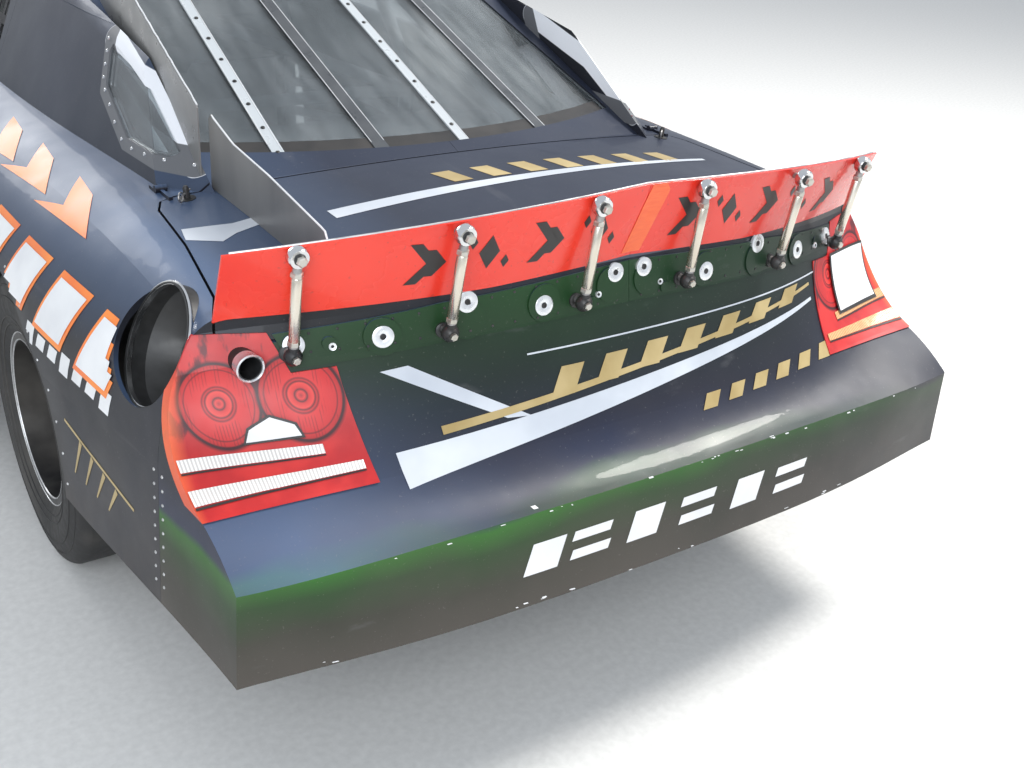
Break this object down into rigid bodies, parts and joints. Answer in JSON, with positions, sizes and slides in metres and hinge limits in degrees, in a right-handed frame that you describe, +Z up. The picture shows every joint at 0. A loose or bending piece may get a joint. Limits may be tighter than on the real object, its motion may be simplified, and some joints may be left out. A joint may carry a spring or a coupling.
{
  "type": "stock car",
  "caption": "Closed stock car with a hollow panelled body over a tube frame, lifting hood and deck lid, steered front wheels and a strutted rear spoiler.",
  "frame": {"origin": "on the ground under the middle of the car's box", "axes": "+X to the car's left, +Y to its tail, +Z up"},
  "size_m": [1.9174, 5.0727, 1.3249],
  "materials": {
    "body_paint": "satin black paint, dusty",
    "frame_paint": "grey frame paint",
    "cage_paint": "pale blue-grey paint",
    "tin": "thin bare sheet",
    "black_metal": "black painted metal",
    "glass": "clear sheet",
    "bare_aluminium": "satin bare aluminium",
    "cast_iron": "cast iron",
    "steel": "brushed steel",
    "webbing": "black webbing",
    "lamp_plastic": "red lamp panels",
    "spoiler_paint": "red paint",
    "rim_paint": "black painted steel wheel",
    "tyre": "slick tyre rubber"
  },
  "bodies": {
    "root": {"frame_rails": "frame_paint", "roll_cage": "cage_paint", "floor_pan": "tin", "nose_cover": "body_paint", "grille_mesh": "black_metal", "left_fender": "body_paint", "right_fender": "body_paint", "left_door": "body_paint", "right_door": "body_paint", "left_quarter": "body_paint", "right_quarter": "body_paint", "tail_cover": "body_paint", "roof_panel": "body_paint", "cowl_panel": "body_paint", "windshield": "glass", "rear_window": "glass", "side_windows": "glass", "window_strips": "bare_aluminium", "fuel_fittings": "black_metal", "fuel_cell": "black_metal", "engine": "cast_iron", "radiator": "bare_aluminium", "driveline": "black_metal", "suspension_arms": "black_metal", "exhaust_pipes": "steel", "driver_seat": "bare_aluminium", "dash_panel": "tin", "window_net": "webbing", "tail_lamps": "lamp_plastic"},
    "hood_body": {"hood": "body_paint"},
    "lid_body": {"deck_lid": "body_paint", "spoiler_blade": "spoiler_paint", "spoiler_base": "black_metal", "spoiler_struts": "steel", "deck_fin": "bare_aluminium"},
    "left_upright_body": {"left_upright": "cast_iron"},
    "right_upright_body": {"right_upright": "cast_iron"},
    "link_body": {"steering_link": "steel"},
    "steering_wheel_body": {"steering_wheel": "black_metal"},
    "front_left_wheel": {"front_left_rim": "rim_paint", "front_left_tyre": "tyre"},
    "front_right_wheel": {"front_right_rim": "rim_paint", "front_right_tyre": "tyre"},
    "rear_left_wheel": {"rear_left_rim": "rim_paint", "rear_left_tyre": "tyre"},
    "rear_right_wheel": {"rear_right_rim": "rim_paint", "rear_right_tyre": "tyre"}
  },
  "joints": [
    {"name": "front_left_spin", "type": "hinge", "parent": "left_upright_body", "child": "front_left_wheel", "pos_m": [0.768, -1.453, 0.35], "axis": [1, 0, 0], "continuous": true},
    {"name": "front_right_spin", "type": "hinge", "parent": "right_upright_body", "child": "front_right_wheel", "pos_m": [-0.768, -1.453, 0.35], "axis": [1, 0, 0], "continuous": true},
    {"name": "rear_left_spin", "type": "hinge", "parent": "root", "child": "rear_left_wheel", "pos_m": [0.768, 1.341, 0.35], "axis": [1, 0, 0], "continuous": true},
    {"name": "rear_right_spin", "type": "hinge", "parent": "root", "child": "rear_right_wheel", "pos_m": [-0.768, 1.341, 0.35], "axis": [1, 0, 0], "continuous": true},
    {"name": "left_steer", "type": "hinge", "parent": "root", "child": "left_upright_body", "pos_m": [0.64, -1.453, 0.35], "axis": [0, 0, 1], "range_deg": [-20, 20]},
    {"name": "right_steer", "type": "hinge", "parent": "root", "child": "right_upright_body", "pos_m": [-0.64, -1.453, 0.35], "axis": [0, 0, 1], "range_deg": [-20, 20]},
    {"name": "link_slide", "type": "slide", "parent": "root", "child": "link_body", "axis": [1, 0, 0], "range_m": [-0.0495, 0.0495]},
    {"name": "steering_turn", "type": "hinge", "parent": "root", "child": "steering_wheel_body", "pos_m": [0.388, -0.23, 0.76], "axis": [0, 0.9511, 0.309], "range_deg": [-241, 241]},
    {"name": "hood_hinge", "type": "hinge", "parent": "root", "child": "hood_body", "pos_m": [0, -0.735, 0.923], "axis": [-1, 0, 0], "range_deg": [0, 50]},
    {"name": "lid_hinge", "type": "hinge", "parent": "root", "child": "lid_body", "pos_m": [0, 1.612, 0.953], "axis": [1, 0, 0], "range_deg": [0, 45]}
  ],
  "couplings": [
    {"joint": "right_steer", "follows": "left_steer", "ratio": 1},
    {"joint": "link_slide", "follows": "left_steer", "m_per_rad": -0.14},
    {"joint": "steering_turn", "follows": "left_steer", "ratio": 12}
  ]
}
